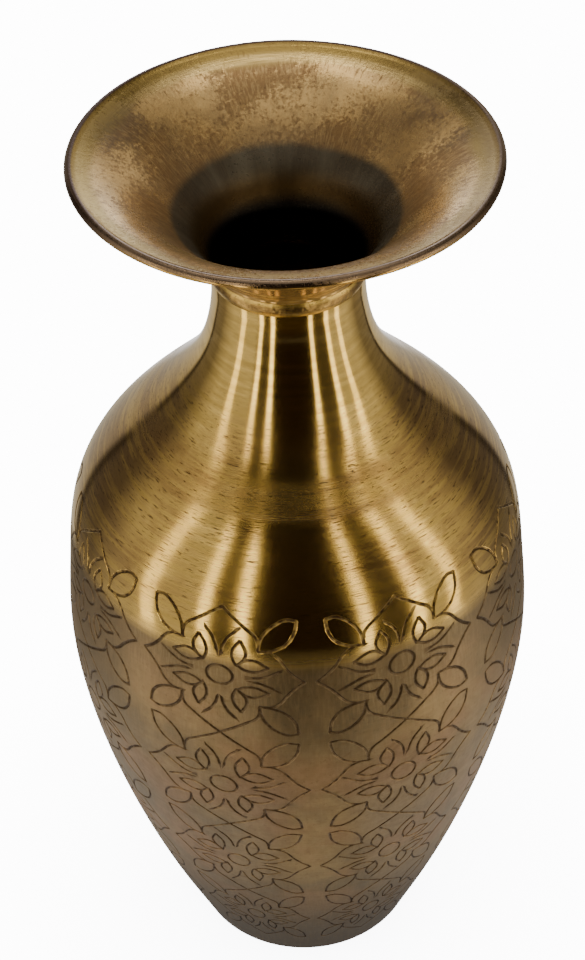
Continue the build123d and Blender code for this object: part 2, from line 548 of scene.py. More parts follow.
def lump_bead(spot):
    """Moves one point of the bead, so that it is lumpy and pitted and wanders a little."""
    radius = math.hypot(spot[0], spot[1])
    share = max(0.0, (radius - COLLAR_R + 0.05) / NECK_BEAD)
    if share <= 0.1:
        return
    around = Vector((spot[0] / radius * 5, spot[1] / radius * 5, spot[2] * 0.25))
    fine = Vector((spot[0] * 0.9, spot[1] * 0.9, spot[2] * 1.4))
    lump = noise.noise(around) * 0.5 + noise.noise(fine) * 0.25
    pit = max(0.0, noise.noise(fine * 1.7 + Vector((3, 8, 1))) - 0.25) * 1.6
    swell = share * (0.2 * lump - 0.2 * pit)
    spot[:2] *= 1 + swell / radius
    spot[2] += noise.noise(around + Vector((5, 5, 5))) * 0.9


def make_neck_seam(material):
    """Lumpy bead of filler under the collar."""
    piece = lathe("neck_seam", neck_seam_profile(), 480)
    places = coordinates(piece)
    for spot in places:
        lump_bead(spot)
    place(piece, places)
    smooth(piece, 60)
    fit(piece, "neck_braze", material)


def mark_outer_face(piece, places, inner):
    """Notes on the funnel's points whether they lie on its outer face."""
    radius = np.hypot(places[:, 0], places[:, 1])
    face_r = np.interp(places[:, 2], inner[:, 1], inner[:, 0])
    outer = (radius > face_r + 0.3) & (places[:, 2] < DRAWN_HEIGHT - RIM_ROLL_R)
    outer &= places[:, 2] > NECK_SEAM + 0.5
    attribute = piece.data.attributes.new("outer_face", "FLOAT", "POINT")
    attribute.data.foreach_set("value", outer.astype(float))


def funnel_profile(inner, roll_r):
    """The funnel's section: flared face, rolled rim, back, and the spigot that enters the neck."""
    outer = offset_line(inner, -SHEET)
    roll_z = DRAWN_HEIGHT - RIM_ROLL_R
    roll = []
    for step in range(25):
        turn = math.radians(125 - step * 12.5)
        roll.append((roll_r + RIM_ROLL_R * math.cos(turn), roll_z + RIM_ROLL_R * math.sin(turn)))
    spigot = COLLAR_R - SHEET
    spigot_end = NECK_SEAM - SPIGOT_LENGTH
    foot = [
        (COLLAR_R, NECK_SEAM + SHEET), (spigot, NECK_SEAM), (spigot, spigot_end),
        (spigot - SHEET, spigot_end), (spigot - SHEET, NECK_SEAM - 0.4), (spigot, NECK_SEAM + 1.2),
    ]
    face = [p for p in inner if p[0] < roll_r - RIM_ROLL_R * 0.85]
    back = [p for p in outer if p[0] < roll_r - RIM_ROLL_R * 0.6]
    return [tuple(p) for p in (*face, *roll, *back[::-1], *foot, face[0])]


def make_funnel(material):
    """Flared mouth with its rolled rim, not quite level, as hand spinning leaves it."""
    inner = smooth_line(MOUTH_OUTLINE, (0, 1), (1, 0.36), 0.8)
    roll_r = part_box("mouth_funnel")[1].x / MM / SCALE - RIM_ROLL_R
    piece = lathe("mouth_spun", funnel_profile(inner, roll_r), 256)
    places = coordinates(piece)
    mark_outer_face(piece, places, inner)
    for spot in places:
        radius = math.hypot(spot[0], spot[1])
        share = min(1.0, max(0.0, (radius - COLLAR_R) / (roll_r - COLLAR_R)))
        angle = math.atan2(spot[0], -spot[1])
        tilt = MOUTH_TILT * radius * math.cos(angle)
        around = Vector((math.cos(angle) * 1.3, math.sin(angle) * 1.3, 2.5))
        spot[2] += share * (tilt + noise.noise(around) * MOUTH_SWAY)
    place(piece, places)
    smooth(piece, 50)
    fit(piece, "mouth_funnel", material)


def make_base(disc_material, braze_material):
    """Base disc with a softened edge and spinning rings, and the filler round it."""
    disc_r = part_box("base_disc")[1].x / MM / SCALE
    top = 2 * SHEET
    rings = [(0.0, SHEET), (disc_r - 0.2, SHEET), (disc_r, SHEET + 0.2), (disc_r, top - 0.2),
             (disc_r - 0.2, top), (30.0, top), (29.6, top - 0.06), (29.2, top), (0.0, top)]
    disc = lathe("base_plate", rings, 128)
    smooth(disc)
    fit(disc, "base_disc", disc_material)
    climb = between_heights(resampled(INSIDE, 0.6), SHEET, top + FOOT_FILLET)
    hollow = [(disc_r - 1.4, top + 0.5), (disc_r - FOOT_FILLET, top)]
    profile = [*climb, *hollow, (disc_r, top), (disc_r, SHEET), climb[0]]
    fillet = lathe("base_fillet", [tuple(p) for p in profile], 160)
    smooth(fillet)
    fit(fillet, "base_braze", braze_material)


# ---------------------------------------------------------------- node helpers


def put(tree, kind, inputs=None, **settings):
    """Adds a node, sets it up and links what feeds it."""
    made = tree.nodes.new(kind)
    for key, value in settings.items():
        setattr(made, key, value)
    for key, value in (inputs or {}).items():
        if isinstance(value, bpy.types.NodeSocket):
            tree.links.new(value, made.inputs[key])
        else:
            made.inputs[key].default_value = value
    return made


def maths(tree, operation, first, second=0.0, third=0.0, clamp=False):
    """One step of arithmetic."""
    values = {0: first, 1: second, 2: third}
    made = put(tree, "ShaderNodeMath", values, operation=operation, use_clamp=clamp)
    return made.outputs[0]


def product(tree, first, *others):
    """Values multiplied together."""
    for other in others:
        first = maths(tree, "MULTIPLY", first, other)
    return first


def linear(tree, value, factor, added):
    """A value times a factor, with another value added."""
    return maths(tree, "MULTIPLY_ADD", value, factor, added)


def built_up(tree, value, parts):
    """A value with others added to it in turn, each times its own factor."""
    for part, factor in parts:
        value = linear(tree, part, factor, value)
    return value


def gap_from(tree, value, middle):
    """How far a value is from a middle, either way."""
    return maths(tree, "ABSOLUTE", maths(tree, "SUBTRACT", value, middle))


def vector_maths(tree, operation, *vectors, output=0):
    """One step of vector arithmetic."""
    made = put(tree, "ShaderNodeVectorMath", dict(enumerate(vectors)), operation=operation)
    return made.outputs[output]


def scaled(tree, vector, amount):
    """A vector made longer or shorter."""
    made = put(tree, "ShaderNodeVectorMath", {0: vector, "Scale": amount}, operation="SCALE")
    return made.outputs[0]


def component(tree, vector, axis):
    """A vector's X, Y or Z."""
    return put(tree, "ShaderNodeSeparateXYZ", {0: vector}).outputs[axis]


def coordinate(tree, kind):
    """Where a point is, in one of Blender's kinds of coordinates."""
    return put(tree, "ShaderNodeTexCoord").outputs[kind]


def step_between(tree, value, low, high, at_low=0.0, at_high=1.0):
    """A soft step from one value to another."""
    inputs = {"Value": value, "From Min": low, "From Max": high, "To Min": at_low, "To Max": at_high}
    made = put(tree, "ShaderNodeMapRange", inputs, interpolation_type="SMOOTHSTEP")
    return made.outputs["Result"]


def mix_values(tree, share, first, second):
    """Two values mixed."""
    return put(tree, "ShaderNodeMix", {0: share, 2: first, 3: second}).outputs[0]


def blend(tree, share, first, second, blend_type="MIX"):
    """Two colours mixed."""
    made = put(tree, "ShaderNodeMix", data_type="RGBA", blend_type=blend_type)
    for socket, value in (("Factor_Float", share), ("A_Color", first), ("B_Color", second)):
        target = next(entry for entry in made.inputs if entry.identifier == socket)
        if isinstance(value, bpy.types.NodeSocket):
            tree.links.new(value, target)
        else:
            target.default_value = (*value, 1) if isinstance(value, tuple) else value
    return next(entry for entry in made.outputs if entry.identifier == "Result_Color")


def layered(tree, color, layers):
    """A colour with others laid over it in turn, each by its own share."""
    for share, over in layers:
        color = blend(tree, share, color, over)
    return color


def grain(tree, vector, scale, detail=3.0, roughness=0.55, distortion=0.0):
    """Noise between 0 and 1."""
    inputs = {"Vector": vector, "Scale": scale, "Detail": detail, "Roughness": roughness,
              "Distortion": distortion}
    return put(tree, "ShaderNodeTexNoise", inputs).outputs["Fac"]


def drawn_out_grain(tree, direction, round_scale, along, along_scale, detail, roughness=0.55):
    """Noise drawn out into rings, spokes or strokes."""
    lift = put(tree, "ShaderNodeCombineXYZ", {"Z": product(tree, along, along_scale)}).outputs[0]
    spread = scaled(tree, direction, round_scale)
    return grain(tree, vector_maths(tree, "ADD", spread, lift), 1.0, detail, roughness)


def new_group(name, inputs, outputs):
    """An empty shared effect with named inputs and outputs."""
    group = bpy.data.node_groups.new(name, "ShaderNodeTree")
    for label, kind, value in inputs:
        entry = group.interface.new_socket(name=label, in_out="INPUT", socket_type=kind)
        entry.default_value = value
    for label, kind in outputs:
        group.interface.new_socket(name=label, in_out="OUTPUT", socket_type=kind)
    start = group.nodes.new("NodeGroupInput")
    end = group.nodes.new("NodeGroupOutput")
    return group, start.outputs, end.inputs


def use_group(tree, group, inputs=None):
    """Places a shared effect in a material."""
    return put(tree, "ShaderNodeGroup", inputs, node_tree=group).outputs


def connect(tree, sources, sockets):
    """Links each named source to the socket of that name."""
    for name, source in sources.items():
        tree.links.new(source, sockets[name])


# ---------------------------------------------------------------- shared effects

FLOAT = "NodeSocketFloat"
VECTOR = "NodeSocketVector"
COLOR = "NodeSocketColor"

# Heights in mm between which a look comes in, from none of it to all of it
AGED_BELOW_NECK = (286.0, 262.0)
AGED_ABOVE_BELLY = (198.0, 232.0)
FLANKS_WIDEN = (246.0, 216.0)
FILED_LOW_EDGE = (248.0, 250.5)
FILED_HIGH_EDGE = (261.0, 257.5)
SATIN_EDGE = (215.5, 205.0)
SATIN_TOP_SHADE = (160.0, 218.0)
SATIN_SIDE_SHADE = (120.0, 190.0)
GREYER_FOOT = (90.0, 10.0)
COLLAR_TOP = (330.0, 322.0)

# Radii in mm between which a look of the mouth comes in
FLARE_EDGE = (68.5, 64.0)
TICK_RADII = (55.0, 61.0)
FLARE_FOOT_SHADE = (47.0, 40.0)
THROAT_SHADE_EDGE = (41.6, 38.6)
THROAT_FOOT_SHADE = (34.0, 29.0)
BORE_SHADE_EDGE = (29.5, 25.6)
RIM_EDGE = (68.7, 69.5)
RIGHT_DARKENING_EDGE = (62.0, 66.0)
INSIDE_LIP = (66.0, 60.0)
HIGHLIGHT_ARC_RADIUS = 63.2
SMUDGE_RADIUS = 58.5
SMUDGE_DIRECTION = (0.899, 0.438)


def make_lathe_place():
    """Where a point is on a turned piece: its direction round the axis, and mm out and up."""
    outputs = [("Round", VECTOR), ("Radius", FLOAT), ("Height", FLOAT), ("Place", VECTOR)]
    tree, _, end = new_group("lathe_place", [], outputs)
    in_mm = scaled(tree, coordinate(tree, "Object"), 1 / (MM * SCALE))
    flat = vector_maths(tree, "MULTIPLY", in_mm, (1, 1, 0))
    found = {
        "Round": vector_maths(tree, "NORMALIZE", flat),
        "Radius": vector_maths(tree, "LENGTH", flat, output="Value"),
        "Height": component(tree, in_mm, "Z"),
        "Place": in_mm,
    }
    connect(tree, found, end)
    return tree


def make_turning_marks():
    """Marks left by turning: fine rings, broad rings, and short dark dashes."""
    inputs = [("Round", VECTOR, (0, 0, 0)), ("Along", FLOAT, 0.0)]
    outputs = [("Fine", FLOAT), ("Broad", FLOAT), ("Dashes", FLOAT)]
    tree, start, end = new_group("turning_marks", inputs, outputs)
    fine, broad, dashes = [
        drawn_out_grain(tree, start["Round"], round_scale, start["Along"], along_scale, detail)
        for round_scale, along_scale, detail in ((5.0, 2.6, 4.0), (1.6, 0.34, 3.0), (15.0, 1.7, 3.0))
    ]
    dashes = step_between(tree, dashes, 0.57, 0.68)
    connect(tree, {"Fine": fine, "Broad": broad, "Dashes": dashes}, end)
    return tree


def make_patina():
    """Uneven ageing: cloudy blotches and small specks."""
    inputs = [("Place", VECTOR, (0, 0, 0)), ("Blotch size", FLOAT, 30.0), ("Speck size", FLOAT, 2.0)]
    outputs = [("Blotch", FLOAT), ("Speck", FLOAT)]
    tree, start, end = new_group("patina", inputs, outputs)
    blotch_scale = maths(tree, "DIVIDE", 1.0, start["Blotch size"])
    speck_scale = maths(tree, "DIVIDE", 1.0, start["Speck size"])
    blotch = step_between(tree, grain(tree, start["Place"], blotch_scale, 4.0, 0.6, 0.4), 0.35, 0.65)
    speck = step_between(tree, grain(tree, start["Place"], speck_scale, 3.0, 0.6), 0.56, 0.72)
    connect(tree, {"Blotch": blotch, "Speck": speck}, end)
    return tree


def turned_surface(tree, effects, along, sizes):
    """Where a turned surface is, its turning marks and its patina."""
    place = use_group(tree, effects["lathe_place"])
    along = maths(tree, along, place["Height"], place["Radius"])
    marks = use_group(tree, effects["turning_marks"], {"Round": place["Round"], "Along": along})
    patina = use_group(tree, effects["patina"], {"Place": place["Place"], **sizes})
    return place, marks, patina


def sideways(tree, place):
    """0 at the front and back of the vase, 1 at its sides."""
    return maths(tree, "ABSOLUTE", component(tree, place["Round"], "X"))


def painted_side_shade(tree, place, belt, broad):
    """Painted shade on the left and right sides of the shoulder, brown in tone, wider lower down."""
    wider = step_between(tree, place["Height"], *FLANKS_WIDEN, 0.0, 0.14)
    flank = step_between(tree, maths(tree, "ADD", sideways(tree, place), wider), 0.76, 0.96)
    return product(tree, flank, belt, step_between(tree, broad, 0.1, 0.8, 0.35, 0.85))


def filed_band(tree, height, fine):
    """The band of coarser filing just above the shoulder seam."""
    low_edge = step_between(tree, height, *FILED_LOW_EDGE)
    high_edge = step_between(tree, height, *FILED_HIGH_EDGE)
    return product(tree, low_edge, high_edge, step_between(tree, fine, 0.3, 0.6, 0.35, 1.0))


def make_lacquered_finish(effects):
    """Turned brass under clear lacquer: golden, with brown ageing, painted shade on the sides and dark
    dashes.
    """
    outputs = [("Color", COLOR), ("Roughness", FLOAT), ("Relief", FLOAT)]
    tree, _, end = new_group("lacquered_finish", [], outputs)
    place, marks, patina = turned_surface(tree, effects, "SUBTRACT", {"Blotch size": 26.0})
    height, fine = place["Height"], marks["Fine"]
    below_neck = step_between(tree, height, *AGED_BELOW_NECK)
    belt = product(tree, below_neck, step_between(tree, height, *AGED_ABOVE_BELLY))
    broad = step_between(tree, marks["Broad"], 0.3, 0.7)
    worn = step_between(tree, fine, 0.4, 0.7, 0.0, 0.5)
    worn = product(tree, worn, linear(tree, belt, 0.45, 0.25))
    aged = product(tree, patina["Blotch"], step_between(tree, marks["Broad"], 0.35, 0.6))
    aged = maths(tree, "MULTIPLY", aged, linear(tree, belt, 0.6, 0.15), clamp=True)
    filed = filed_band(tree, height, fine)
    dark = product(tree, marks["Dashes"], linear(tree, belt, 0.85, 0.1))
    golden = blend(tree, broad, (0.62, 0.43, 0.125), (0.90, 0.64, 0.21))
    color = layered(tree, golden, [
        (worn, (0.40, 0.24, 0.07)),
        (aged, (0.30, 0.175, 0.065)),
        # painted shade on the shoulder's left and right sides
        (painted_side_shade(tree, place, belt, broad), (0.25, 0.155, 0.07)),
        (product(tree, filed, 0.3), (0.34, 0.20, 0.07)),
        (dark, (0.10, 0.055, 0.02)),
    ])
    rough = built_up(tree, 0.07, [(fine, 0.06), (belt, 0.05), (filed, 0.1), (dark, 0.08)])
    connect(tree, {"Color": color, "Roughness": rough, "Relief": fine}, end)
    return tree


# ---------------------------------------------------------------- finishes

LACQUER = 0.18


def new_metal(name):
    """A material whose shader is ready for brass."""
    material = bpy.data.materials.new(name)
    material.use_nodes = True
    shader = material.node_tree.nodes["Principled BSDF"]
    shader.inputs["Metallic"].default_value = 1
    shader.inputs["Coat Roughness"].default_value = 0.06
    return material, material.node_tree, shader


def finish_metal(tree, shader, color, roughness, relief, depth):
    """Feeds a colour, a roughness and a fine relief to a shader."""
    bump = put(tree, "ShaderNodeBump", {"Height": relief, "Distance": depth, "Strength": 1.0})
    feeds = {"Base Color": color, "Roughness": roughness, "Normal": bump.outputs[0]}
    connect(tree, feeds, shader.inputs)


def make_lacquered(effects):
    """Shoulder and neck."""
    material, tree, shader = new_metal("lacquered_brass")
    finish = use_group(tree, effects["lacquered_finish"])
    finish_metal(tree, shader, finish["Color"], finish["Roughness"], finish["Relief"], 0.000006)
    shader.inputs["Coat Weight"].default_value = LACQUER
    return material


def satin_brown(tree, place, marks, patina, low):
    """The brown below the lacquer: clouds, painted shade darkening the top and the sides, upright
    brushing, mottling and specks.
    """
    spot, height = place["Place"], place["Height"]
    rosy = step_between(tree, grain(tree, spot, 0.028, 3.0, 0.6), 0.45, 0.62, 0.0, 0.75)
    shaded_top = step_between(tree, linear(tree, patina["Blotch"], 14.0, height), *SATIN_TOP_SHADE)
    brushed = drawn_out_grain(tree, place["Round"], 85.0, height, 0.13, 4.0, 0.7)
    flank = step_between(tree, sideways(tree, place), 0.55, 0.95, 0.0, 0.6)
    mottle = grain(tree, spot, 0.2, 4.0, 0.65)
    clouds = blend(tree, patina["Blotch"], (0.45, 0.325, 0.185), (0.28, 0.225, 0.155))
    return layered(tree, clouds, [
        (rosy, (0.44, 0.275, 0.17)),
        # painted shade: darker towards the top of the satin zone, its edge broken by the blotches
        (shaded_top, (0.16, 0.12, 0.07)),
        (low, (0.22, 0.18, 0.14)),
        (step_between(tree, brushed, 0.42, 0.66, 0.0, 0.2), (0.56, 0.41, 0.24)),
        # painted shade on the left and right sides of the satin zone
        (product(tree, flank, step_between(tree, height, *SATIN_SIDE_SHADE)), (0.15, 0.115, 0.08)),
        (step_between(tree, mottle, 0.4, 0.65, 0.0, 0.3), (0.23, 0.155, 0.085)),
        (product(tree, marks["Fine"], 0.4), (0.15, 0.10, 0.055)),
        (product(tree, patina["Speck"], 0.3), (0.12, 0.08, 0.045)),
    ])


def wax_in_lines(tree, place):
    """How full of dark wax the engraved lines are, worn thin in places."""
    line = put(tree, "ShaderNodeAttribute", attribute_name="engraved").outputs["Fac"]
    worn = step_between(tree, grain(tree, place["Place"], 0.45, 3.0), 0.35, 0.65, 0.6, 1.0)
    return product(tree, step_between(tree, line, 0.06, 0.4), worn)


def make_engraved(effects):
    """Belly: lacquered above, satin brown below, with dark wax in the engraved lines."""
    material, tree, shader = new_metal("engraved_brass")
    finish = use_group(tree, effects["lacquered_finish"])
    sizes = {"Blotch size": 42.0, "Speck size": 1.6}
    place, marks, patina = turned_surface(tree, effects, "SUBTRACT", sizes)
    satin = step_between(tree, linear(tree, marks["Broad"], 5.0, place["Height"]), *SATIN_EDGE)
    low = step_between(tree, place["Height"], *GREYER_FOOT)
    filled = wax_in_lines(tree, place)
    color = layered(tree, finish["Color"], [
        (satin, satin_brown(tree, place, marks, patina, low)),
        (filled, blend(tree, low, (0.08, 0.05, 0.028), (0.045, 0.028, 0.016))),
    ])
    rough = linear(tree, marks["Fine"], 0.12, 0.34)
    rough = mix_values(tree, satin, finish["Roughness"], rough)
    rough = maths(tree, "MAXIMUM", rough, product(tree, filled, 0.6))
    bare = maths(tree, "MAXIMUM", satin, filled)
    coat = linear(tree, bare, -LACQUER, LACQUER)
    connect(tree, {"Coat Weight": coat, "Metallic": linear(tree, satin, -0.3, 1.0)}, shader.inputs)
    finish_metal(tree, shader, color, rough, marks["Fine"], 0.000012)
    return material


def flare_brass(tree, radius, patina, hair, spotty, tick):
    """The mottled flare, with hair-fine streaks, dark ticks towards the rim, and painted shade towards
    the throat.
    """
    mottled = blend(tree, spotty, (0.95, 0.63, 0.27), (0.38, 0.225, 0.10))
    return layered(tree, mottled, [
        (product(tree, patina["Blotch"], 0.55), (0.33, 0.22, 0.12)),
        (step_between(tree, hair, 0.46, 0.66, 0.0, 0.35), (0.95, 0.68, 0.32)),
        (product(tree, tick, 0.7), (0.20, 0.11, 0.05)),
        (product(tree, patina["Speck"], 0.6), (0.16, 0.09, 0.04)),
        # painted shade, deepening towards the throat
        (step_between(tree, radius, *FLARE_FOOT_SHADE, 0.0, 0.3), (0.24, 0.165, 0.10)),
    ])


def painted_highlight_arc(tree, place, marks, toward_back):
    """Where the back of the flare gets a painted highlight: a bright arc standing in for the top light's
    reflection.
    """
    ring = step_between(tree, gap_from(tree, place["Radius"], HIGHLIGHT_ARC_RADIUS), 3.0, 0.6)
    lines = step_between(tree, marks["Fine"], 0.3, 0.6)
    return product(tree, ring, lines, step_between(tree, toward_back, 0.3, 0.85))


def smudges(tree, place, clouds, grit):
    """Grey stains on both flanks of the flare, a little behind the middle."""
    across = product(tree, sideways(tree, place), SMUDGE_DIRECTION[0])
    toward = linear(tree, component(tree, place["Round"], "Y"), SMUDGE_DIRECTION[1], across)
    flank = step_between(tree, toward, 0.93, 0.985)
    ring = step_between(tree, gap_from(tree, place["Radius"], SMUDGE_RADIUS), 10.0, 3.0)
    cloudy = step_between(tree, clouds, 0.35, 0.55)
    return product(tree, flank, ring, cloudy, step_between(tree, grit, 0.3, 0.6, 0.2, 0.5))


def painted_throat_shade(tree, place, hair):
    """The throat in painted shade, with painted soft folds of reflected light, and darker still towards
    the bore.
    """
    folds = grain(tree, scaled(tree, place["Round"], 4.0), 1.0, 2.0)
    shaded_throat = blend(tree, step_between(tree, hair, 0.4, 0.7), (0.10, 0.08, 0.058), (0.13, 0.105, 0.075))
    return layered(tree, shaded_throat, [
        # painted reflection: soft folds of light in the throat
        (step_between(tree, folds, 0.4, 0.75), (0.19, 0.165, 0.125)),
        # painted shade, deepening towards the bore
        (step_between(tree, place["Radius"], *THROAT_FOOT_SHADE), (0.10, 0.06, 0.02)),
    ])


def rim_right_darkening(tree, place):
    """Darkens the lip's right side, brown in tone."""
    right = step_between(tree, component(tree, place["Round"], "X"), 0.35, 0.95, 0.0, 0.5)
    return product(tree, right, step_between(tree, place["Radius"], *RIGHT_DARKENING_EDGE))


def outer_brass(tree, marks, patina):
    """The funnel's outer face."""
    skin = blend(tree, patina["Blotch"], (0.58, 0.38, 0.125), (0.40, 0.25, 0.09))
    return blend(tree, product(tree, marks["Fine"], 0.4), skin, (0.30, 0.18, 0.06))


def rim_with_painted_shade(tree, toward_back):
    """The rolled rim, paler in front and darkened at the back with painted shade."""
    # painted shade: darker towards the back of the rim
    at_back = step_between(tree, toward_back, -0.75, -0.35)
    return blend(tree, at_back, (0.27, 0.19, 0.135), (0.085, 0.052, 0.038))


def mouth_metal(tree, place, outer):
    """Less of a mirror inside the lip and on the collar."""
    collar = product(tree, outer, step_between(tree, place["Height"], *COLLAR_TOP), 0.5)
    matt = maths(tree, "MAXIMUM", collar, step_between(tree, place["Radius"], *INSIDE_LIP))
    return linear(tree, matt, -0.36, 1.0)


def make_mouth(effects):
    """Funnel: smooth lip, mottled flare with hair-fine radial streaks and a painted highlight arc, throat
    in painted shade, bore painted black as a painted shadow.
    """
    material, tree, shader = new_metal("mouth_brass")
    sizes = {"Blotch size": 15.0, "Speck size": 1.3}
    place, marks, patina = turned_surface(tree, effects, "ADD", sizes)
    radius = place["Radius"]
    clouds = grain(tree, place["Place"], 0.035, 3.0)
    grit = grain(tree, place["Place"], 0.75, 4.0, 0.7)
    hair = drawn_out_grain(tree, place["Round"], 70.0, radius, 0.3, 3.0, 0.65)
    toward_back = component(tree, place["Round"], "Y")
    outer = put(tree, "ShaderNodeAttribute", attribute_name="outer_face").outputs["Fac"]
    spotty = step_between(tree, linear(tree, grit, 0.8, clouds), 0.80, 0.95)
    tick = product(tree, step_between(tree, hair, 0.44, 0.34), step_between(tree, radius, *TICK_RADII))
    painted_highlight = painted_highlight_arc(tree, place, marks, toward_back)
    flare = step_between(tree, linear(tree, clouds, 9.0, radius), *FLARE_EDGE)
    throat = step_between(tree, linear(tree, clouds, 3.0, radius), *THROAT_SHADE_EDGE)
    band = blend(tree, marks["Broad"], (0.34, 0.23, 0.07), (0.48, 0.335, 0.115))
    color = layered(tree, band, [
        (flare, flare_brass(tree, radius, patina, hair, spotty, tick)),
        # painted highlight: a bright gold arc at the back of the flare
        (product(tree, painted_highlight, 0.75), (1.0, 0.74, 0.34)),
        (product(tree, tick, 0.45), (0.24, 0.14, 0.06)),
        (smudges(tree, place, clouds, grit), (0.14, 0.105, 0.075)),
        # painted shade and painted reflections over the throat
        (throat, painted_throat_shade(tree, place, hair)),
        # painted shadow: near-black down the bore of the neck
        (step_between(tree, radius, *BORE_SHADE_EDGE), (0.003, 0.002, 0.002)),
        # rolled rim, with painted shade at its back
        (step_between(tree, radius, *RIM_EDGE), rim_with_painted_shade(tree, toward_back)),
        # darker on the lip's right side
        (rim_right_darkening(tree, place), (0.17, 0.115, 0.065)),
        (outer, outer_brass(tree, marks, patina)),
    ])
    rough = built_up(tree, 0.17, [(spotty, 0.14), (marks["Fine"], 0.08), (painted_highlight, -0.06)])
    rough = mix_values(tree, outer, rough, 0.13)
    connect(tree, {"Metallic": mouth_metal(tree, place, outer)}, shader.inputs)
    relief = product(tree, grit, linear(tree, outer, -0.9, 1.0))
    finish_metal(tree, shader, color, rough, relief, 0.00006)
    return material


def make_braze(effects, name, pitted):
    """Filler: paler than the sheet, pitted and stained where it stands proud."""
    material, tree, shader = new_metal(name)
    place = use_group(tree, effects["lathe_place"])
    sizes = {"Place": place["Place"], "Blotch size": 5.0, "Speck size": 0.9}
    patina = use_group(tree, effects["patina"], sizes)
    finish = use_group(tree, effects["lacquered_finish"])
    core = step_between(tree, gap_from(tree, place["Height"], NECK_SEAM), 2.2, 0.8) if pitted else 0.12
    color = layered(tree, finish["Color"], [
        (core, blend(tree, patina["Blotch"], (0.48, 0.32, 0.12), (0.24, 0.15, 0.06))),
        (product(tree, patina["Speck"], 0.6 if pitted else 0.2), (0.05, 0.03, 0.02)),
    ])
    rough = maths(tree, "ADD", finish["Roughness"], 0.18 if pitted else 0.03)
    finish_metal(tree, shader, color, rough, patina["Speck"], -0.00002 if pitted else -0.000005)
    shader.inputs["Coat Weight"].default_value = 0.0 if pitted else LACQUER
    return material


def make_base_finish(effects):
    """Dull turned disc."""
    material, tree, shader = new_metal("base_brass")
    place = use_group(tree, effects["lathe_place"])
    along = {"Round": place["Round"], "Along": place["Radius"]}
    marks = use_group(tree, effects["turning_marks"], along)
    patina = use_group(tree, effects["patina"], {"Place": place["Place"], "Blotch size": 14.0})
    color = blend(tree, marks["Broad"], (0.34, 0.24, 0.11), (0.48, 0.34, 0.15))
    color = blend(tree, product(tree, patina["Blotch"], 0.6), color, (0.15, 0.10, 0.05))
    rough = linear(tree, marks["Fine"], 0.2, 0.35)
    finish_metal(tree, shader, color, rough, marks["Fine"], 0.00002)
    return material


def make_finishes():
    """Every finish on the vase."""
    effects = {
        "lathe_place": make_lathe_place(),
        "turning_marks": make_turning_marks(),
        "patina": make_patina(),
    }
    effects["lacquered_finish"] = make_lacquered_finish(effects)
    return {
        "engraved": make_engraved(effects),
        "lacquered": make_lacquered(effects),
        "mouth": make_mouth(effects),
        "proud_braze": make_braze(effects, "proud_braze", True),
        "flush_braze": make_braze(effects, "flush_braze", False),
        "base": make_base_finish(effects),
    }


# ---------------------------------------------------------------- studio


CAMERA_PLACE = (0, -637.35, 789.68)
CAMERA_VIEW_ANGLE = 23.014
CAMERA_DOWN = 43.729
PITCH_UP = 1.829
YAW_LEFT = 0.0428
ROLL = -1.639
PALE_AIR = 14.0


def turned_pair(first, second, degrees):
    """Two upright directions turned together, the first towards the second."""
    cos, sin = math.cos(math.radians(degrees)), math.sin(math.radians(degrees))
    return cos * first + sin * second, -sin * first + cos * second


def make_camera():
    """Looks down on the vase from in front."""
    down = math.radians(CAMERA_DOWN)
    forward = Vector((0, math.cos(down), -math.sin(down)))
    right = Vector((1, 0, 0))
    up = right.cross(forward)
    forward, up = turned_pair(forward, up, PITCH_UP)
    right, forward = turned_pair(right, forward, YAW_LEFT)
    right, up = turned_pair(right, up, ROLL)
    data = bpy.data.cameras.new("studio_camera")
    data.sensor_fit = "VERTICAL"
    data.angle = math.radians(CAMERA_VIEW_ANGLE)
    camera = bpy.data.objects.new("studio_camera", data)
    bpy.context.scene.collection.objects.link(camera)
    turned = Matrix((right, up, -forward)).transposed().to_4x4()
    stand = Matrix.Translation(Vector(CAMERA_PLACE) * MM * SCALE)
    camera.matrix_world = stand @ turned
    bpy.context.scene.camera = camera


def glow_material(name):
    """An empty glowing material: its tree and its emission node."""
    material = bpy.data.materials.new(name)
    material.use_nodes = True
    tree = material.node_tree
    tree.nodes.clear()
    out = tree.nodes.new("ShaderNodeOutputMaterial")
    glow = tree.nodes.new("ShaderNodeEmission")
    tree.links.new(glow.outputs[0], out.inputs["Surface"])
    return material, tree, glow


def studio_shape(name, add, scale=(1, 1, 1), **settings):
    """A shape for the studio, drawn by one of Blender's own tools."""
    deselect_all()
    add(**settings)
    shape = bpy.context.object
    shape.name = name
    shape.scale = scale
    bpy.ops.object.transform_apply(location=True, rotation=False, scale=True)
    return shape


def light_unseen(shape, material):
    """Gives a light or card its glow, and leaves it to be seen only in reflections."""
    shape.data.materials.append(material)
    shape.visible_camera = False
    shape.visible_shadow = False


def color_stops(tree, value, stops):
    """A colour that changes along a value."""
    made = put(tree, "ShaderNodeValToRGB", {"Fac": value})
    entries = made.color_ramp.elements
    while len(entries) < len(stops):
        entries.new(0.5)
    for entry, (spot, color) in zip(entries, stops):
        entry.position = spot
        entry.color = (*color, 1)
    return made.outputs["Color"]


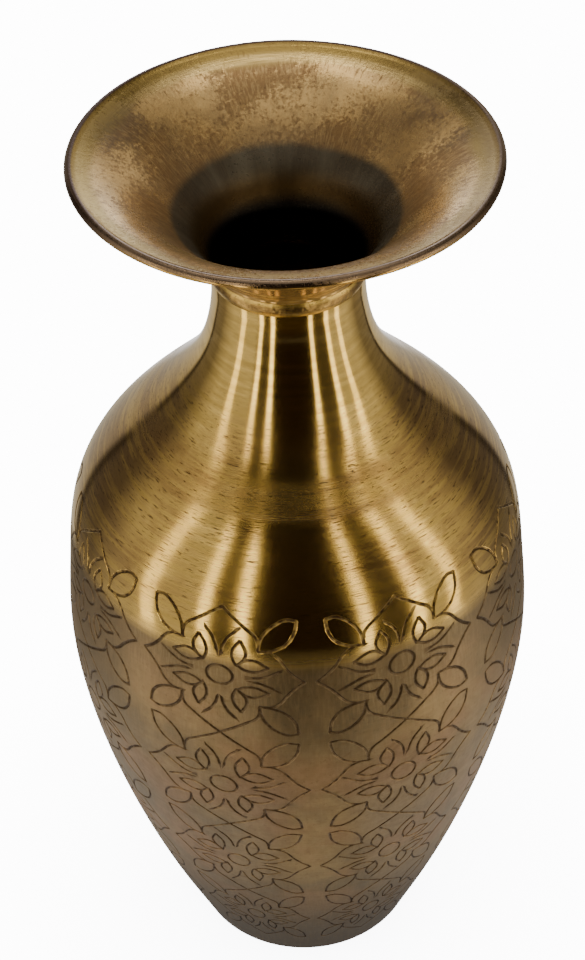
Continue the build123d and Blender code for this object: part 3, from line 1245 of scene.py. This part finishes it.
# Each strip: half width in degrees, strength, and its line as degrees from the front at
# heights in metres. The tops lean towards the front, and a height below zero is a
# stretch that lies on the table, that far in from the upright part.
STRIP_LIGHTS = {
    "left_far": (3.8, 2.7, [
        (-69, -0.2), (-68, 0.3), (-67, 0.46), (-64.5, 0.53), (-61, 0.57), (-52, 0.6),
    ]),
    "left_middle": (2.4, 3.7, [(-40.5, -0.2), (-41, 0.3), (-41.5, 0.5), (-41, 0.6), (-39.5, 0.64)]),
    "left_near": (2.3, 4.2, [(-24, -0.2), (-24, 0.3), (-24.5, 0.6), (-23.5, 0.66)]),
    "right_near": (2.4, 3.6, [(30.4, -0.2), (28, 0.33), (27, 0.56), (25, 0.66), (24.5, 0.75)]),
    "right_middle": (2.8, 3.7, [
        (54.4, -0.2), (52, 0.36), (51, 0.56), (47.5, 0.615), (42, 0.65), (38, 0.68),
    ]),
    "right_far": (3.3, 3.0, [
        (72.8, -0.2), (70.5, 0.3), (68.5, 0.46), (66, 0.53), (61, 0.57), (52, 0.6),
    ]),
    "table_gleam": (3.2, 0.6, [(7, -0.42), (6, -0.2)]),
}
STRIP_COLOR = (1.0, 0.87, 0.58, 1)
TOP_PANEL_PLACE = (0, 0.24, 1.2)
TOP_PANEL_SIZE = (1.0, 0.3, 1.0)
TOP_PANEL_STRENGTH = 2.6
TOP_PANEL_COLOR = (1.0, 0.93, 0.74, 1)
TENT_RADIUS = 0.6
TENT_HEIGHT = 0.9
TENT_DIM_ABOVE = 0.62
STRIP_DISTANCE = 0.5
BOARD_RADIUS = 0.2


def make_strip(name, half_width, strength, line):
    """A tall soft-edged strip of light standing on the floor, seen only in reflections."""
    grid = bpy.ops.mesh.primitive_grid_add
    strip = studio_shape("strip_" + name, grid, x_subdivisions=1, y_subdivisions=40, size=1)
    width = 2.5 * STRIP_DISTANCE * math.tan(math.radians(half_width))
    degrees, heights = np.array(line).T
    for vertex in strip.data.vertices:
        across = vertex.co.x * width
        height = heights[0] + (vertex.co.y + 0.5) * (heights[-1] - heights[0])
        azimuth = math.radians(np.interp(height, heights, degrees))
        toward = Vector((math.sin(azimuth), -math.cos(azimuth), 0))
        side = Vector((math.cos(azimuth), math.sin(azimuth), 0))
        standing = STRIP_DISTANCE + min(0.0, height)
        vertex.co = toward * standing + side * across + Vector((0, 0, max(height, 0)))
    material, tree, glow = glow_material("light_" + name)
    sheet = coordinate(tree, "UV")
    soft = step_between(tree, gap_from(tree, component(tree, sheet, "X"), 0.5), 0.5, 0.3)
    top = step_between(tree, component(tree, sheet, "Y"), 1.0, 0.92)
    tree.links.new(product(tree, soft, top, strength), glow.inputs["Strength"])
    glow.inputs["Color"].default_value = STRIP_COLOR
    light_unseen(strip, material)


def make_top_light():
    """A soft panel overhead, a little behind the vase."""
    plane = bpy.ops.mesh.primitive_plane_add
    panel = studio_shape("top_panel", plane, TOP_PANEL_SIZE, size=1, location=TOP_PANEL_PLACE)
    material, tree, glow = glow_material("top_light")
    sheet = coordinate(tree, "UV")
    edges = [
        step_between(tree, gap_from(tree, component(tree, sheet, axis), 0.5), 0.5, 0.2)
        for axis in ("X", "Y")
    ]
    tree.links.new(product(tree, *edges, TOP_PANEL_STRENGTH), glow.inputs["Strength"])
    glow.inputs["Color"].default_value = TOP_PANEL_COLOR
    light_unseen(panel, material)


def tent_cloth(tree):
    """The cloth's brightness by azimuth: black in front, olive at the sides, pale behind."""
    spot = coordinate(tree, "Object")
    toward_front = product(tree, component(tree, spot, "Y"), -1.0)
    angle = maths(tree, "ARCTAN2", component(tree, spot, "X"), toward_front)
    share = linear(tree, angle, 1 / TURN, 0.5)
    black, dim, shade = (0.016, 0.009, 0.005), (0.08, 0.065, 0.045), (0.2, 0.175, 0.14)
    olive, pale = (0.66, 0.6, 0.47), (1.9, 1.95, 2.1)
    layout = [
        (-180, pale), (-173, pale), (-160, olive), (-132, olive), (-128.5, black), (-127, black),
        (-124, shade), (-108, shade), (-86, olive), (-48, olive), (-42, dim), (-26, dim),
        (-21, black), (24, black), (30, dim), (50, dim), (57, olive), (88, olive), (108, shade),
        (128, shade), (132, black), (133.5, black), (136, olive), (160, olive), (173, pale),
        (180, pale),
    ]
    return color_stops(tree, share, [((degrees + 180) / 360, color) for degrees, color in layout])


def make_tent():
    """The cloth wall round the vase."""
    tent = studio_shape(
        "cloth_tent", bpy.ops.mesh.primitive_cylinder_add, vertices=96, radius=TENT_RADIUS,
        depth=TENT_HEIGHT, end_fill_type="NOTHING", location=(0, 0, TENT_HEIGHT / 2),
    )
    material, tree, glow = glow_material("tent_cloth")
    tree.links.new(tent_cloth(tree), glow.inputs["Color"])
    height = component(tree, coordinate(tree, "Object"), "Z")
    dimmed = step_between(tree, height, TENT_HEIGHT, TENT_DIM_ABOVE, 0.3, 1.0)
    tree.links.new(dimmed, glow.inputs["Strength"])
    light_unseen(tent, material)


def make_board():
    """What the vase reflects of the table: a pale board under it, painted darker near the middle as a
    painted shadow, the cloth's colours beyond.
    """
    board = studio_shape(
        "table_board", bpy.ops.mesh.primitive_circle_add, vertices=96, radius=TENT_RADIUS,
        fill_type="NGON", location=(0, 0, -0.004),
    )
    material, tree, glow = glow_material("board_paint")
    out = vector_maths(tree, "LENGTH", coordinate(tree, "Object"), output="Value")
    near = step_between(tree, out, BOARD_RADIUS + 0.09, BOARD_RADIUS - 0.06)
    # painted shadow of the vase on the table, darker near the middle
    under = step_between(tree, out, 0.05, 0.11)
    paint = blend(tree, under, (0.2, 0.2, 0.2), (0.52, 0.5, 0.47))
    inward = step_between(tree, out, 0.56, 0.3)
    cloth = blend(tree, inward, tent_cloth(tree), (0.05, 0.034, 0.008), "ADD")
    tree.links.new(blend(tree, near, cloth, paint), glow.inputs["Color"])
    light_unseen(board, material)


def make_floor():
    """Pale floor, with a painted contact shadow where the foot rests on it."""
    plane, just_below = bpy.ops.mesh.primitive_plane_add, (0, 0, cad_low.z - 0.0002)
    floor = studio_shape("pale_floor", plane, size=12, location=just_below)
    material, tree, glow = glow_material("floor_paper")
    # painted contact shadow: the floor's glow dimmed by occlusion round the foot
    near = put(tree, "ShaderNodeAmbientOcclusion", {"Distance": 0.12}, samples=16).outputs["AO"]
    tree.links.new(blend(tree, near, (0.5, 0.5, 0.52), (1.0, 1.0, 1.0)), glow.inputs["Color"])
    glow.inputs["Strength"].default_value = PALE_AIR
    floor.data.materials.append(material)
    floor.visible_glossy = False
    floor.visible_diffuse = False
    floor.visible_shadow = False


def make_air():
    """Pale to the eye; in reflections a soft warm top light over a dim floor."""
    world = bpy.data.worlds.new("studio_air")
    bpy.context.scene.world = world
    world.use_nodes = True
    tree = world.node_tree
    tree.nodes.clear()
    out = tree.nodes.new("ShaderNodeOutputWorld")
    rise = component(tree, coordinate(tree, "Generated"), "Z")
    share = linear(tree, rise, 0.5, 0.5)
    stops = [
        (0.0, (0.4, 0.4, 0.4)), (0.5, (0.3, 0.29, 0.28)), (0.8, (0.12, 0.11, 0.09)),
        (0.88, (0.2, 0.18, 0.14)), (0.94, (0.6, 0.56, 0.47)), (1.0, (0.62, 0.59, 0.5)),
    ]
    sky = color_stops(tree, share, stops)
    unseen = put(tree, "ShaderNodeBackground", {"Color": sky, "Strength": 1.0})
    seen = put(tree, "ShaderNodeBackground", {"Color": (1, 1, 1, 1), "Strength": PALE_AIR})
    path = tree.nodes.new("ShaderNodeLightPath")
    mix = put(tree, "ShaderNodeMixShader", {
        0: path.outputs["Is Camera Ray"], 1: unseen.outputs[0], 2: seen.outputs[0],
    })
    tree.links.new(mix.outputs[0], out.inputs["Surface"])


def make_studio():
    """Floor, strips of light, panel overhead, tent, board and air."""
    make_floor()
    for name, (half_width, strength, line) in STRIP_LIGHTS.items():
        make_strip(name, half_width, strength, line)
    make_top_light()
    make_tent()
    make_board()
    make_air()


# ---------------------------------------------------------------- build

make_camera()
make_studio()
finishes = make_finishes()
make_belly(finishes["engraved"])
make_shoulder(finishes["lacquered"])
make_shoulder_seam(finishes["flush_braze"])
make_neck_seam(finishes["proud_braze"])
make_funnel(finishes["mouth"])
make_base(finishes["base"], finishes["proud_braze"])
